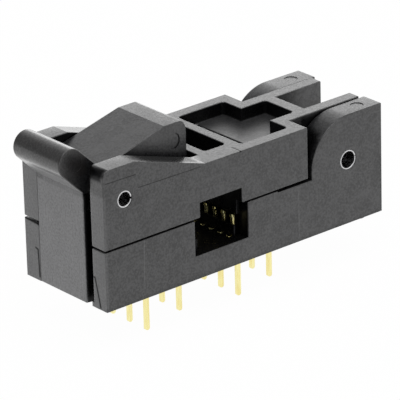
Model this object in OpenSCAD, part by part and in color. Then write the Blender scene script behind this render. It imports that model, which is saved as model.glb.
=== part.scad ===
// Clamshell test socket for a small two-row chip package.
// A base with sprung contacts carries a hinged lid, and a rocker latch at the far end holds the lid shut.
// X runs along the length from the latch end to the hinge end, Y across, Z up from the circuit board.
// Heights are measured from the underside of the base, which stands on four low feet.

/* [Body] */
// Length of the base, end face to end face
body_len = 34.8; // [33.5:0.1:38]
// Width of the base and the lid
body_w = 12.1; // [11.8:0.1:14]
// Height of the base's deck
base_h = 6.0; // [5.8:0.05:6.2]
// Step down of the deck on its hinge side
deck_step = 0.15; // [0.05:0.05:0.3]
// Length of the higher deck between the nest and that step
deck_run = 3.8; // [3:0.1:5]
// Seam between the deck and the closed lid
seam = 0.18; // [0.1:0.02:0.3]
// Depth of the lid from its underside to its flat top
lid_h = 5.3; // [5:0.1:6]
// Wall of the lid round its T-shaped pocket
wall = 1.37; // [1.2:0.01:1.5]
// Height of the feet under the base
foot_h = 0.25; // [0.1:0.05:0.5]
// Diameter of the feet
foot_d = 1.2; // [0.8:0.1:1.4]
// Distance of the latch pair of feet from the latch end
latch_foot_in = 4.5; // [4:0.1:4.8]
// Distance of the latch pair of feet from the side faces
latch_foot_side = 1.45; // [1:0.05:1.6]
// Distance of the hinge pair of feet from the hinge end
hinge_foot_in = 2.3; // [1.5:0.1:3]
// Distance of the hinge pair of feet from the side faces
hinge_foot_side = 0.95; // [0.75:0.05:1.4]

/* [Hinge] */
// Distance of the hinge pin from the end face
hinge_inset = 4.4; // [4:0.1:5]
// Height of the hinge pin
hinge_z = 6.65; // [6.4:0.05:7]
// Outer radius of the hinge ears
ear_r = 4.73; // [4.4:0.01:4.9]
// Thickness of each hinge ear
ear_t = 2.49; // [2.2:0.01:2.7]
// Side gap between an ear and the lid's arm
arm_gap = 0.11; // [0.05:0.01:0.2]
// Reach of the lid's arms past the hinge pin
arm_reach = 3.84; // [3.5:0.01:4]
// Radius of the knuckle round the hinge pin
knuckle_r = 2.3; // [1.8:0.1:2.4]
// Gap between the ears' curve and the lid's shoulder
shoulder_gap = 0.48; // [0.4:0.02:0.7]
// Distance from the hinge pin back to the wall between the arms
fork_gap = 2.1; // [2:0.05:2.4]
// Outer diameter of the hinge pin
hinge_pin_d = 2.0; // [1.6:0.1:2.2]
// Gap between the knuckle and the wall of the well it turns in
well_gap = 0.2; // [0.1:0.05:0.4]
// Gap between the floor of the well and the ends of the arms when they sweep past it
sweep_gap = 0.4; // [0.2:0.05:0.8]

/* [Lid] */
// Rise of the cheeks above the flat top
cheek_rise = 2.67; // [2.4:0.01:3]
// Thickness of each cheek beside the latch
cheek_t = 2.2; // [1.9:0.05:2.4]
// Length of the flat on top of the cheeks
cheek_flat = 3.85; // [3.4:0.05:4.4]
// Distance from the latch end to the foot of the cheeks' ramp
ramp_end = 12.38; // [11:0.1:13]
// Radius on the end of each cheek
cheek_round = 0.8; // [0.4:0.1:1.2]
// Radius on the latch slot's edge on the side of the latch's spring
entry_round = 0.45; // [0.2:0.05:0.6]
// Radius on the inner upper edges of the base's two end posts
post_round = 0.45; // [0.2:0.05:0.6]
// Height of the floor under the latch and in the deep pockets
web_z = 8.2; // [8:0.05:8.3]
// Depth of the T-shaped pocket
tee_depth = 1.38; // [1:0.02:2]
// Corner radius of the pockets
pocket_r = 0.4; // [0.2:0.05:0.6]
// Thickness of the rib behind the latch
rear_rib = 1.07; // [0.9:0.01:1.3]
// Length of the pocket between the two ribs
mid_pocket = 2.58; // [2:0.02:3]
// Thickness of the rib before the T-shaped pocket
front_rib = 1.12; // [0.9:0.01:1.3]
// Length of the trench beside that rib
trench = 2.35; // [1.5:0.05:3]
// Thickness of the rim beside the middle pocket
mid_rim = 2.4; // [2:0.05:2.8]

/* [Latch] */
// Distance of the latch pin from the end face
latch_inset = 2.55; // [2.4:0.05:2.7]
// Height of the latch pin
latch_z = 10.75; // [10.5:0.05:10.9]
// Outer diameter of the latch pin
latch_pin_d = 1.7; // [1.4:0.1:1.8]
// Room beside the latch for its spring
spring_room = 0.85; // [0.8:0.01:1.2]
// Side gap between the latch and the cheek away from its spring
latch_gap = 0.05; // [0.04:0.01:0.2]
// Thickness of the latch plate
plate_t = 1.5; // [1.2:0.05:1.6]
// Height of the plate's lower edge
plate_z = 0.05; // [0:0.05:0.2]
// Room behind the plate and the hook for the latch to swing
swing_gap = 0.25; // [0.2:0.05:0.4]
// Radius of the grip bar
bar_r = 1.45; // [1.2:0.05:1.6]
// Slope of the neck between the bar and the pivot, in degrees
neck_turn = 45; // [44:0.5:46]
// Distance of the bar's centre outside the end face
bar_out = 1.22; // [1:0.02:1.5]
// Height of the bar's centre
bar_z = 14.46; // [14.2:0.02:14.8]
// Radius on the ends of the bar and on the neck's side edges
bar_round = 0.5; // [0.1:0.05:0.6]
// Height of the press pad's ridge
ridge_z = 15.02; // [14.6:0.02:15.4]
// Distance of the ridge's front edge from the end face
ridge_in = 9.98; // [9:0.02:10.5]
// Distance of the press pad's back from the end face
pad_back = 12.66; // [12:0.02:13]
// Height of the press pad's underside
pad_under = 10.6; // [10.5:0.05:11]
// Radius on the press pad's back edge
pad_round = 0.4; // [0.2:0.05:0.6]
// Gap between the press pad's back and the rib behind it
pad_gap = 0.57; // [0.5:0.01:0.9]
// Depth of the hook's toe
toe = 0.75; // [0.6:0.05:0.9]
// Height of the hook's toe
toe_h = 0.7; // [0.5:0.05:0.8]
// Height of the toe's underside
toe_z = 0.5; // [0.3:0.05:0.6]
// Thickness of the catch rib above the toe
catch_t = 0.65; // [0.5:0.05:0.8]
// Overlap of the catch rib and the toe
catch_grip = 0.5; // [0.3:0.05:0.6]
// Gap between the catch rib and the toe
catch_gap = 0.1; // [0.05:0.05:0.2]

/* [Nest] */
// Distance of the chip's centre from the latch end
nest_inset = 14.2; // [14.1:0.05:14.4]
// Width of the nest across the contact rows
nest_w = 6.61; // [6.5:0.01:6.8]
// Height of the nest's floor
nest_floor = 2.35; // [2.2:0.05:2.4]
// Width of the window in the lid
window_w = 5.22; // [5:0.02:5.24]
// Rise of the window above the lid's underside
window_h = 1.51; // [1.2:0.01:1.7]
// Thickness of the lead pushers under the lid
pusher_t = 0.48; // [0.4:0.02:0.5]
// Distance of the pushers' ends from the side faces
pusher_inset = 0.95; // [0.8:0.05:1.2]
// Gap between the pushers and the empty contacts
pusher_gap = 0.08; // [0.05:0.01:0.2]

/* [Contacts] */
// Contacts in each row
leads = 8; // [2:2:8]
// Spacing of the contacts
pitch = 1.27; // [1.1:0.01:1.3]
// Distance of the inner tail rows from the nest's centre
tail_inner = 3.175; // [3.1:0.005:3.25]
// Distance of the outer tail rows from the nest's centre
tail_outer = 8.255; // [8:0.005:8.4]
// Length of the tails below the base
tail_len = 4.15; // [3:0.05:5]
// Width of the tails
tail_w = 0.5; // [0.4:0.02:0.56]
// Chamfer at the tips of the tails
tail_chamfer = 0.14; // [0.05:0.01:0.18]
// Thickness of the contact strip
strip_t = 0.4; // [0.3:0.02:0.45]
// Width of the contact spring
spring_w = 0.3; // [0.26:0.02:0.42]
// Distance of the contact tips from the nest's centre
tip_x = 2.7; // [2.66:0.01:2.74]
// Height of the contact tips
tip_z = 4.55; // [4.4:0.01:4.6]
// Thickness of the foot that holds a contact in the base
foot_t = 0.7; // [0.5:0.05:0.8]
// Height of the foot's upper face, which seats in the base
foot_top = 1.7; // [1.6:0.02:1.8]
// Least reach of the foot past the inner tail row
foot_reach = 1.0; // [0.8:0.05:1.2]
// Length of the nose on the spring, which lies in its slot level with the nest's floor
nose_len = 0.55; // [0.3:0.05:0.7]
// Thickness of the nose
nose_t = 0.35; // [0.2:0.05:0.5]
// Rise of the nose above the nest's floor
nose_rise = 0.05; // [0:0.01:0.1]
// Inner radius of the hook at the contact tip
hook_in_r = 0.1; // [0.05:0.01:0.2]
// Room inside the spring for it to bend
flex_room = 0.24; // [0.1:0.02:0.3]
// Bend radius at the root of the contact spring, on its centre line
bend_r = 0.7; // [0.6:0.02:0.72]
// Side clearance of a contact in its slot
slot_gap = 0.06; // [0.04:0.01:0.1]
// Depth of the comb notches in the nest's walls
comb = 0.6; // [0.4:0.05:0.8]

/* [Springs and pins] */
// Wall of the rolled pins
pin_wall = 0.15; // [0.12:0.01:0.3]
// Slot along the hinge pin, which is rolled nearly shut
hinge_pin_slot = 0.06; // [0.04:0.01:0.3]
// Slot along the latch pin
latch_pin_slot = 0.26; // [0.1:0.02:0.5]
// Inset of the pins' ends from the side faces
pin_inset = 0.04; // [0:0.01:0.2]
// Clearance round a pin where it is held
held_gap = 0.01; // [0.01:0.01:0.02]
// Clearance round a pin where a part turns on it
run_gap = 0.04; // [0.02:0.01:0.06]
// Wire of the lid spring
lid_wire = 0.5; // [0.4:0.02:0.5]
// Wire of the latch spring
latch_wire = 0.28; // [0.24:0.01:0.3]
// Gap between a spring and what it presses on
seat_gap = 0.03; // [0.02:0.01:0.06]
// Gap between a spring's coil and its pin
coil_gap = 0.25; // [0.2:0.01:0.3]
// Gap between the latch spring and the walls beside it
side_gap = 0.05; // [0.03:0.01:0.08]
// Turns of the lid spring
lid_turns = 5; // [3:1:6]
// Turns of the latch spring
latch_turns = 1; // [1:1:2]
// Length of the latch spring's free leg
latch_leg = 2.0; // [1.9:0.1:2.6]
// Place along that leg of the peg it pulls
peg_at = 1.6; // [1.6:0.05:1.8]
// Radius of the peg
peg_r = 0.3; // [0.2:0.05:0.3]
// Length of the peg
peg_len = 0.6; // [0.4:0.05:0.7]

/* [Ejector marks] */
// Radius of the marks on the ears
ear_mark_r = 0.68; // [0.4:0.02:0.8]
// Radius of the marks on the latch
latch_mark_r = 0.8; // [0.5:0.02:0.9]
// Depth of the marks
mark_depth = 0.06; // [0.02:0.01:0.15]
// Distance of the marks on the ears past the hinge pin
ear_mark = 2.3; // [1.5:0.1:3]
// Distance of the mark on the press pad from the end face
pad_mark_in = 11.0; // [10.5:0.1:11.5]
// Distance of the mark on the press pad below its ridge
pad_mark_down = 1.8; // [1.2:0.1:2.5]
// Distance of the mark on the bar's end inwards from the bar's centre
bar_mark_in = 0.56; // [0:0.02:0.6]
// Distance of that mark below the bar's centre
bar_mark_down = 0.2; // [0:0.05:0.4]

/* [Hidden] */
// Sides of a full circle, and of the ears' larger one
$fn = 48;
ear_fn = 96;
// Overlap of joined solids, and overshoot of cutters past a face
eps = 0.01;
over = 1;
// Colours: black plastic, bright steel, spring wire and gold plating
plastic = [0.17, 0.17, 0.18];
steel = [0.75, 0.75, 0.76];
wire_steel = [0.6, 0.6, 0.62];
gold = [0.83, 0.69, 0.36];
// Places along the length
latch_end = -body_len / 2;
hinge_end = body_len / 2;
hinge_x = hinge_end - hinge_inset;
latch_x = latch_end + latch_inset;
nest_x = latch_end + nest_inset;
shoulder_x = hinge_x - ear_r - shoulder_gap;
fork_x = hinge_x - fork_gap;
channel_end = latch_end + pad_back + pad_gap;
mid_start = channel_end + rear_rib;
mid_end = mid_start + mid_pocket;
tee_start = mid_end + front_rib;
trench_end = tee_start + trench;
deck_step_x = nest_x + nest_w / 2 + deck_run;
// Half widths
half_w = body_w / 2;
slot_half = half_w - cheek_t;
arm_out = half_w - ear_t - arm_gap;
arm_in = arm_out - wall;
latch_y1 = slot_half - latch_gap;
latch_y0 = -slot_half + spring_room;
// Heights
lid_z = base_h + seam;
lid_top = lid_z + lid_h;
cheek_top = lid_top + cheek_rise;
tee_z = lid_top - tee_depth;
ear_top = hinge_z + ear_r;
well_z = hinge_z - arm_reach - sweep_gap;
well_x = hinge_x - knuckle_r - well_gap;
// Latch plate, hook and the slot in the base that takes them
plate_in = latch_end + plate_t;
plate_top = bar_z - bar_r / cos(neck_turn) - bar_out * tan(neck_turn);
// Length of the neck's lower face, from the bar to the plate
neck_run = (bar_out + bar_r * sin(neck_turn)) / cos(neck_turn);
catch_x = plate_in + toe - catch_grip;
catch_z = toe_z + toe_h + catch_gap;
slot_back = plate_in + toe + swing_gap;
lid_front = plate_in + swing_gap;
// Inside of a contact's slot, measured from the nest's centre
slot_in = tip_x - spring_w / 2 - nose_len - flex_room;
// Coils: radius of the wire's centre line, angles where they begin and end, steps in a turn
lid_coil_r = hinge_pin_d / 2 + lid_wire / 2 + coil_gap;
latch_coil_r = latch_pin_d / 2 + latch_wire / 2 + coil_gap;
lid_a0 = 259.5;
lid_a1 = 220 + 360 * lid_turns;
latch_a0 = 30;
latch_a1 = 165 + 360 * latch_turns;
coil_steps = 20;
wire_sides = 8;
// Turn of the slots in the two pins
hinge_slot_turn = 12;
latch_slot_turn = -4;

// Place of contact i across the width
function lead_y(i) = (i - (leads + 1) / 2) * pitch;
// Tails alternate between the outer and the inner row, the other way round on the two sides
function tail_x(side, i) = (i % 2 == 1) == (side < 0) ? tail_outer : tail_inner;
// Outer end of the foot that carries a tail
function foot_end(tail) = max(tail + tail_w / 2, tail_inner + foot_reach);

// A flat profile drawn in X and Z, drawn out across the width from y0 to y1
module across(y0, y1) {
    translate([0, y1, 0]) rotate([90, 0, 0]) linear_extrude(y1 - y0) children();
}

// A flat profile drawn in Y and Z, drawn out along the length from x0 to x1
module along(x0, x1) {
    translate([x0, 0, 0]) rotate([90, 0, 90]) linear_extrude(x1 - x0) children();
}

// A box given by its two corners
module block(low, high) {
    translate(low) cube(high - low);
}

// A round hole or bar across the width
module cross_cylinder(x, z, r, y0, y1) {
    translate([x, y0, z]) rotate([-90, 0, 0]) cylinder(r = r, h = y1 - y0);
}

// What is left of a square corner when it is rounded: a cutter with its corner at the origin
module round_corner(r) {
    difference() {
        translate([-eps, -eps]) square(r + eps);
        translate([r, r]) circle(r);
    }
}

// A rectangle with rounded corners, given by its two corners
module round_rect(low, high, r) {
    size = high - low;
    difference() {
        translate(low) square(size);
        translate(low) round_corner(r);
        translate([high[0], low[1]]) rotate(90) round_corner(r);
        translate(high) rotate(180) round_corner(r);
        translate([low[0], high[1]]) rotate(270) round_corner(r);
    }
}

// Outline of one hinge ear: square at the end face, round about the pin towards the lid
module ear_outline() {
    foot = base_h - over;
    intersection() {
        translate([hinge_x - ear_r, foot]) square([ear_r + hinge_inset, ear_top - foot]);
        union() {
            translate([hinge_x, hinge_z]) circle(ear_r, $fn = ear_fn);
            translate([hinge_x, foot]) square([hinge_inset, ear_top - foot]);
            translate([hinge_x - ear_r, foot]) square([ear_r + eps, hinge_z - foot]);
        }
    }
}

// Slot for one contact: open below for its foot, open above at its spring
module contact_slot(side, i) {
    y = lead_y(i);
    half = strip_t / 2 + slot_gap;
    slot_out = foot_end(tail_x(side, i)) + slot_gap;
    translate([nest_x, y, 0]) scale([side, 1, 1]) {
        block([slot_in, -half, -eps], [slot_out, half, foot_top]);
        block([slot_in, -half, foot_top - eps], [nest_w / 2 + eps, half, nest_floor + eps]);
        block([nest_w / 2, -half, foot_top - eps], [nest_w / 2 + comb, half, base_h + eps]);
    }
}

// Cutter that rounds the latch slot's upright edge on the side of the latch's spring
module entry_cutter(z0, z1) {
    translate([latch_end, -slot_half, z0]) linear_extrude(z1 - z0) rotate(270) round_corner(entry_round);
}

// One foot under the base
module foot(x, y) {
    translate([x, y, -foot_h]) cylinder(d = foot_d, h = foot_h + eps);
}

// Base: a block with two hinge ears, the nest channel across it and the latch slot in its end
module base() {
    color(plastic) translate([0, 0, foot_h]) difference() {
        union() {
            block([latch_end, -half_w, 0], [hinge_end, half_w, base_h]);
            for (s = [-1, 1])
                across(min(s * half_w, s * (half_w - ear_t)), max(s * half_w, s * (half_w - ear_t)))
                    ear_outline();
            // The hinge pair of feet stands nearer the side faces than the latch pair
            for (s = [-1, 1]) {
                foot(latch_end + latch_foot_in, s * (half_w - latch_foot_side));
                foot(hinge_end - hinge_foot_in, s * (half_w - hinge_foot_side));
            }
        }
        // Lower deck from beside the nest to the ears
        block([deck_step_x, -half_w - over, base_h - deck_step],
              [hinge_x - ear_r, half_w + over, base_h + over]);
        // Well between the ears for the lid's arms
        block([well_x, -half_w + ear_t, well_z], [hinge_end + over, half_w - ear_t, ear_top + over]);
        block([hinge_x - ear_r - eps, -half_w + ear_t, base_h - deck_step],
              [hinge_x, half_w - ear_t, ear_top + over]);
        // Nest channel, open at both side faces
        block([nest_x - nest_w / 2, -half_w - over, nest_floor],
              [nest_x + nest_w / 2, half_w + over, base_h + over]);
        // Latch slot, cut back above and below the catch rib
        block([latch_end - over, -slot_half, -over], [catch_x, slot_half, base_h + over]);
        block([catch_x - eps, -slot_half, -over], [slot_back, slot_half, catch_z]);
        block([catch_x - eps, -slot_half, catch_z + catch_t], [slot_back, slot_half, base_h + over]);
        entry_cutter(-over, base_h + over);
        along(latch_end - over, slot_back) {
            translate([slot_half, base_h]) rotate(270) round_corner(post_round);
            translate([-slot_half, base_h]) rotate(180) round_corner(post_round);
        }
        // Notch for the lid spring's upper leg
        block([lid_leg_end()[0] - lid_wire, lid_coil_y(0) - lid_wire, lid_leg_start()[1] - lid_wire],
              [well_x + eps, lid_coil_y(0) + lid_wire, base_h + over]);
        // Bore for the hinge pin
        cross_cylinder(hinge_x, hinge_z, hinge_pin_d / 2 + held_gap, -half_w - over, half_w + over);
        // Ejector marks on the ears
        for (s = [-1, 1])
            translate([hinge_x + ear_mark, s * (half_w - ear_t / 2), ear_top - mark_depth])
                cylinder(r = ear_mark_r, h = over);
        for (side = [-1, 1], i = [1:leads]) contact_slot(side, i);
    }
}

// Side outline of the lid's body: flat top, ramped cheeks and a rounded end
module lid_outline() {
    difference() {
        polygon([
            [latch_end, lid_z],
            [shoulder_x, lid_z],
            [shoulder_x, lid_top],
            [latch_end + ramp_end, lid_top],
            [latch_end + cheek_flat, cheek_top],
            [latch_end, cheek_top]
        ]);
        translate([latch_end, cheek_top]) rotate(270) round_corner(cheek_round);
    }
}

// Outline of one lid arm: a bar to the end with a round knuckle about the pin
module arm_outline() {
    translate([shoulder_x - eps, lid_z]) square([hinge_x - shoulder_x + eps, lid_top - lid_z]);
    translate([hinge_x - eps, hinge_z]) square([arm_reach + eps, lid_top - hinge_z]);
    translate([hinge_x, hinge_z]) circle(knuckle_r);
}

// Plan of the T-shaped pocket
module tee_plan() {
    round_rect([tee_start, -half_w + wall], [shoulder_x - wall, half_w - wall], pocket_r);
    round_rect([shoulder_x - wall - 2 * pocket_r, -arm_in], [fork_x - wall, arm_in], pocket_r);
}

// Lid: cheeks, ribs and pockets on top, arms at the hinge, lead pushers below
module lid() {
    pusher_z = tip_z + pusher_gap;
    color(plastic) translate([0, 0, foot_h]) difference() {
        union() {
            across(-half_w, half_w) lid_outline();
            for (s = [-1, 1])
                across(min(s * arm_in, s * arm_out), max(s * arm_in, s * arm_out)) arm_outline();
            block([shoulder_x - eps, -arm_in - eps, lid_z], [fork_x, arm_in + eps, lid_top]);
            for (s = [-1, 1])
                translate([nest_x, 0, 0]) scale([s, 1, 1])
                    block([window_w / 2, -half_w + pusher_inset, pusher_z],
                          [window_w / 2 + pusher_t, half_w - pusher_inset, lid_z + eps]);
        }
        // Channel for the latch, open at the end
        block([lid_front, -slot_half, web_z], [channel_end, slot_half, cheek_top + over]);
        block([latch_end - over, -slot_half, lid_z - over], [lid_front + eps, slot_half, cheek_top + over]);
        entry_cutter(lid_z - over, cheek_top + over);
        // Pockets in the top
        translate([0, 0, web_z]) linear_extrude(lid_h)
            round_rect([mid_start, -half_w + mid_rim], [mid_end, half_w - mid_rim], pocket_r);
        translate([0, 0, tee_z]) linear_extrude(lid_h) tee_plan();
        translate([0, 0, web_z]) linear_extrude(lid_h)
            round_rect([tee_start, -half_w + wall], [trench_end, half_w - wall], pocket_r);
        // Window between the pushers
        block([nest_x - window_w / 2, -half_w - over, lid_z - over],
              [nest_x + window_w / 2, half_w + over, lid_z + window_h]);
        // Bores for the two pins
        cross_cylinder(hinge_x, hinge_z, hinge_pin_d / 2 + run_gap, -half_w, half_w);
        cross_cylinder(latch_x, latch_z, latch_pin_d / 2 + held_gap, -half_w - over, half_w + over);
    }
}

// Side outline of the latch: plate and hook, grip bar on a slanted neck, rocker with its press pad
module latch_outline() {
    bar = [latch_end - bar_out, bar_z];
    ridge = [latch_end + ridge_in, ridge_z];
    back = latch_end + pad_back;
    // The neck is as thick as the bar; its upper face meets the rocker above the pin
    valley = [latch_x, bar_z + bar_r / cos(neck_turn) - (latch_x - bar[0]) * tan(neck_turn)];
    neck_len = (latch_x - bar[0]) / cos(neck_turn) - bar_r * tan(neck_turn);
    translate([latch_end, plate_z]) square([plate_t, plate_top - plate_z]);
    polygon([
        [plate_in - eps, toe_z],
        [plate_in + toe / 2, toe_z],
        [plate_in + toe, toe_z + toe_h / 2],
        [plate_in + toe, toe_z + toe_h],
        [plate_in - eps, toe_z + toe_h]
    ]);
    translate(bar) circle(bar_r);
    translate(bar) rotate(-neck_turn) translate([0, -bar_r]) square([neck_len, 2 * bar_r]);
    difference() {
        polygon([
            [latch_end + plate_t / 2, latch_z],
            valley,
            ridge,
            [back, ridge_z],
            [back, pad_under],
            [latch_x, pad_under]
        ]);
        translate([back, ridge_z]) rotate(180) round_corner(pad_round);
    }
    translate([latch_x, latch_z]) circle(valley[1] - latch_z);
}

// Latch: plate, rocker and grip bar in one moulding, with a peg for its spring
module latch() {
    color(plastic) translate([0, 0, foot_h]) difference() {
        union() {
            across(latch_y0, latch_y1) latch_outline();
            cross_cylinder(latch_peg()[0], latch_peg()[1], peg_r, latch_y0 - peg_len, latch_y0 + eps);
        }
        cross_cylinder(latch_x, latch_z, latch_pin_d / 2 + run_gap, latch_y0 - over, latch_y1 + over);
        // Ejector marks on the side of the press pad and on the end of the bar
        cross_cylinder(latch_end + pad_mark_in, ridge_z - pad_mark_down, latch_mark_r,
                       latch_y0 - over, latch_y0 + mark_depth);
        cross_cylinder(latch_end - bar_out + bar_mark_in, bar_z - bar_mark_down, latch_mark_r,
                       latch_y0 - over, latch_y0 + mark_depth);
        // Rounded ends of the grip bar
        for (s = [-1, 1])
            translate([latch_end - bar_out, s > 0 ? latch_y0 : latch_y1, bar_z])
                scale([1, s, 1]) rotate([-90, 0, 0]) bar_end_cutter();
    }
}

// Section of the cutter that rounds a bar end
module bar_end_section() {
    translate([bar_r, 0]) rotate(90) round_corner(bar_round);
}

// Cutter that rounds a bar end: a half ring away from the neck, and a straight run along both faces of the neck
module bar_end_cutter() {
    rotate([0, 0, 90 + neck_turn]) {
        rotate_extrude(angle = 180) bar_end_section();
        for (s = [-1, 1])
            translate([0, eps, 0]) rotate([90, 0, 0]) linear_extrude(neck_run + eps)
                scale([s, 1]) bar_end_section();
    }
}

// A rolled spring pin: a hollow tube with a slot along it
module rolled_pin(d, slot, slot_turn) {
    len = body_w - 2 * pin_inset;
    rotate([90, 0, 0]) difference() {
        cylinder(d = d, h = len, center = true);
        cylinder(d = d - 2 * pin_wall, h = len + over, center = true);
        rotate(slot_turn) translate([0, -slot / 2, -len]) cube([d, slot, 2 * len]);
    }
}

// Hinge pin, held in the ears
module hinge_pin() {
    color(steel) translate([hinge_x, 0, hinge_z + foot_h])
        rolled_pin(hinge_pin_d, hinge_pin_slot, hinge_slot_turn);
}

// Latch pin, held in the lid's cheeks
module latch_pin() {
    color(steel) translate([latch_x, 0, latch_z + foot_h])
        rolled_pin(latch_pin_d, latch_pin_slot, latch_slot_turn);
}

// Point on a coil about the axis c, at angle a
function coil_point(c, r, a) = [c[0] + r * cos(a), c[1] + r * sin(a)];
// Direction of travel there, for a growing angle
function coil_dir(a) = [-sin(a), cos(a)];
// Path of a torsion spring: a leg, the coil from a0 to a1 and y0 to y1, a second leg
function torsion_path(c, r, a0, a1, y0, y1, leg0, leg1) =
    let (
        n = ceil((a1 - a0) / 360 * coil_steps),
        p0 = coil_point(c, r, a0) - leg0 * coil_dir(a0),
        p1 = coil_point(c, r, a1) + leg1 * coil_dir(a1)
    )
    concat(
        [[p0[0], y0, p0[1]]],
        [for (k = [0:n])
            let (a = a0 + (a1 - a0) * k / n, p = coil_point(c, r, a))
            [p[0], y0 + (y1 - y0) * k / n, p[1]]],
        [[p1[0], y1, p1[1]]]
    );
function unit(v) = v / norm(v);

// A round wire swept along a path that stays roughly square to the Y axis
module wire(path, r) {
    n = len(path);
    rings = [for (i = [0:n - 1])
        let (
            t = unit(path[min(i + 1, n - 1)] - path[max(i - 1, 0)]),
            u = unit(cross([0, 1, 0], t)),
            v = cross(t, u)
        )
        for (k = [0:wire_sides - 1])
            path[i] + r * (cos(360 * k / wire_sides) * u + sin(360 * k / wire_sides) * v)];
    sides = [for (i = [0:n - 2], k = [0:wire_sides - 1])
        let (a = i * wire_sides, b = (k + 1) % wire_sides)
        [a + k, a + b, a + wire_sides + b, a + wire_sides + k]];
    start = [for (k = [0:wire_sides - 1]) wire_sides - 1 - k];
    end = [for (k = [0:wire_sides - 1]) (n - 1) * wire_sides + k];
    polyhedron(rings, concat([start], sides, [end]));
}

// Lid spring: where its coil begins and ends across the width, and its upper leg
function lid_coil_y(k) = (k - 0.5) * (2 * arm_in - 2 * lid_wire);
function lid_leg_start() = coil_point([hinge_x, hinge_z], lid_coil_r, lid_a0);
function lid_leg_len() =
    (lid_z - seat_gap - lid_wire / 2 / cos(lid_a0 - 270) - lid_leg_start()[1]) / -coil_dir(lid_a0)[1];
function lid_leg_end() = lid_leg_start() - lid_leg_len() * coil_dir(lid_a0);

// Lid spring: its upper leg lifts the lid's underside, its lower leg stands on the floor of the well
module lid_spring() {
    low = coil_point([hinge_x, hinge_z], lid_coil_r, lid_a1);
    drop = low[1] - well_z - seat_gap - lid_wire / 2;
    color(wire_steel) translate([0, 0, foot_h])
        wire(torsion_path([hinge_x, hinge_z], lid_coil_r, lid_a0, lid_a1, lid_coil_y(0), lid_coil_y(1),
                          lid_leg_len(), drop / -coil_dir(lid_a1)[1]), lid_wire / 2);
}

// Centre of the peg on the latch, just inside the latch spring's free leg
function latch_peg() =
    coil_point([latch_x, latch_z], latch_coil_r, latch_a1) + peg_at * coil_dir(latch_a1)
    - (latch_wire / 2 + peg_r + seat_gap) * [cos(latch_a1), sin(latch_a1)];

// Latch spring: one leg stands on the lid's floor, the other pulls the peg on the latch inwards
module latch_spring() {
    y0 = -slot_half + side_gap + latch_wire / 2;
    y1 = latch_y0 - side_gap - latch_wire / 2;
    top = coil_point([latch_x, latch_z], latch_coil_r, latch_a0);
    drop = top[1] - web_z - seat_gap - latch_wire / 2;
    color(wire_steel) translate([0, 0, foot_h])
        wire(torsion_path([latch_x, latch_z], latch_coil_r, latch_a0, latch_a1, y0, y1,
                          drop / coil_dir(latch_a0)[1], latch_leg), latch_wire / 2);
}

// Side outline of one contact, outwards along X from the nest's centre
module contact_outline(tail) {
    half = spring_w / 2;
    root = [tip_x + bend_r, foot_top + bend_r - half];
    hook_r = spring_w + hook_in_r;
    hook = [tip_x + half - hook_r, tip_z - hook_r];
    // Foot in the base
    translate([root[0], foot_top - foot_t]) square([foot_end(tail) - root[0], foot_t]);
    // Tail with a chamfered tip
    polygon([
        [tail - tail_w / 2, foot_top],
        [tail - tail_w / 2, -tail_len + tail_chamfer],
        [tail - tail_w / 2 + tail_chamfer, -tail_len],
        [tail + tail_w / 2 - tail_chamfer, -tail_len],
        [tail + tail_w / 2, -tail_len + tail_chamfer],
        [tail + tail_w / 2, foot_top]
    ]);
    // Bend at the root of the spring
    intersection() {
        translate(root) difference() {
            circle(bend_r + half);
            circle(bend_r - half);
        }
        translate(root - [bend_r + half + eps, bend_r + half + eps])
            square([bend_r + half + 2 * eps, bend_r + half + 2 * eps]);
    }
    // Upright spring with its nose, and the hook that the lead rests on
    translate([tip_x - half, root[1] - eps]) square([spring_w, hook[1] - root[1] + 2 * eps]);
    translate([tip_x - half - nose_len, nest_floor + nose_rise - nose_t]) square([nose_len + half, nose_t]);
    intersection() {
        translate(hook) difference() {
            circle(hook_r);
            circle(hook_in_r);
        }
        translate(hook) square(hook_r);
    }
}

// One contact: a stamped strip, standing in its slot
module contact(side, i) {
    color(gold) translate([nest_x, lead_y(i), foot_h]) scale([side, 1, 1])
        across(-strip_t / 2, strip_t / 2) contact_outline(tail_x(side, i));
}

base();
lid();
latch();
hinge_pin();
latch_pin();
lid_spring();
latch_spring();
for (i = [1:leads]) {
    contact(-1, i);
    contact(1, i);
}
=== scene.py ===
"""Looks of a clamshell chip test socket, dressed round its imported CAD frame.

The three mouldings and the stamped contacts are copies of their CAD solids with their edges rounded, and the
rolled pins and wire springs are modelled anew. Fields hold millimetres and degrees, if nothing else is said.
X runs along the length from the latch end to the hinge end, Y across from the near side, Z up.
"""

import logging
import math
from collections.abc import Iterable, Sequence
from dataclasses import dataclass
from enum import Enum
from functools import reduce

import bmesh
import bpy
from mathutils import Matrix, Vector

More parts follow.
